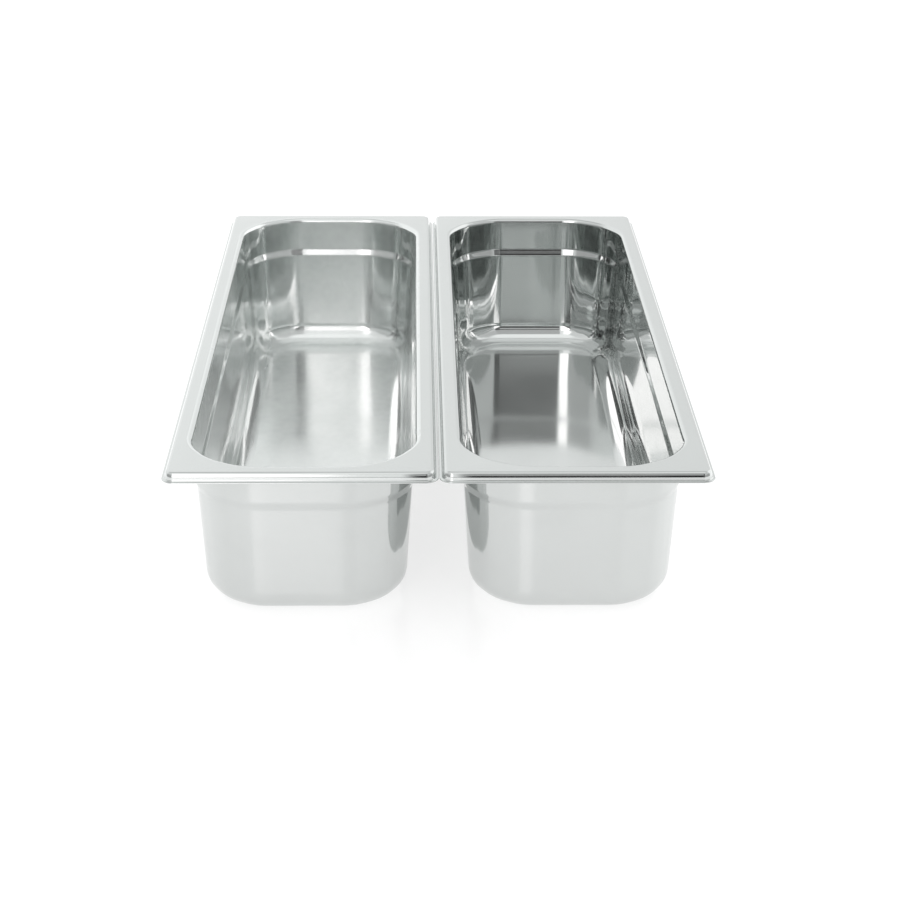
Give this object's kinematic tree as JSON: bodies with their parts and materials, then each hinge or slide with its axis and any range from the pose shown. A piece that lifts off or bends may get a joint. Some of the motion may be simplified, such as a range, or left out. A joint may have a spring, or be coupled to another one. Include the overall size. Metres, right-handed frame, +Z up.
{
  "type": "food pan pair",
  "caption": "Slim deep-drawn stainless-steel food pans with flat rims and round-cornered wells, side by side to fill one counter opening.",
  "frame": {"origin": "on the surface the pans stand on, midway between the two pans", "axes": "+X from the left pan to the right pan, +Y along the pans' length, +Z up out of the pans"},
  "size_m": [0.3242, 0.53, 0.1008],
  "materials": {
    "satin_steel": "satin stainless steel with a fine drawn grain, inside and out",
    "bright_steel": "stainless steel, bright and mirror-like inside the well, satin on the rim and outside"
  },
  "bodies": {
    "left_pan": {"left_pan": "satin_steel"},
    "right_pan": {"right_pan": "bright_steel"}
  },
  "joints": [
    {"name": "right_pan_lift", "type": "slide", "parent": "left_pan", "child": "right_pan", "axis": [0, 0, 1], "range_m": [0, 0.14]}
  ]
}
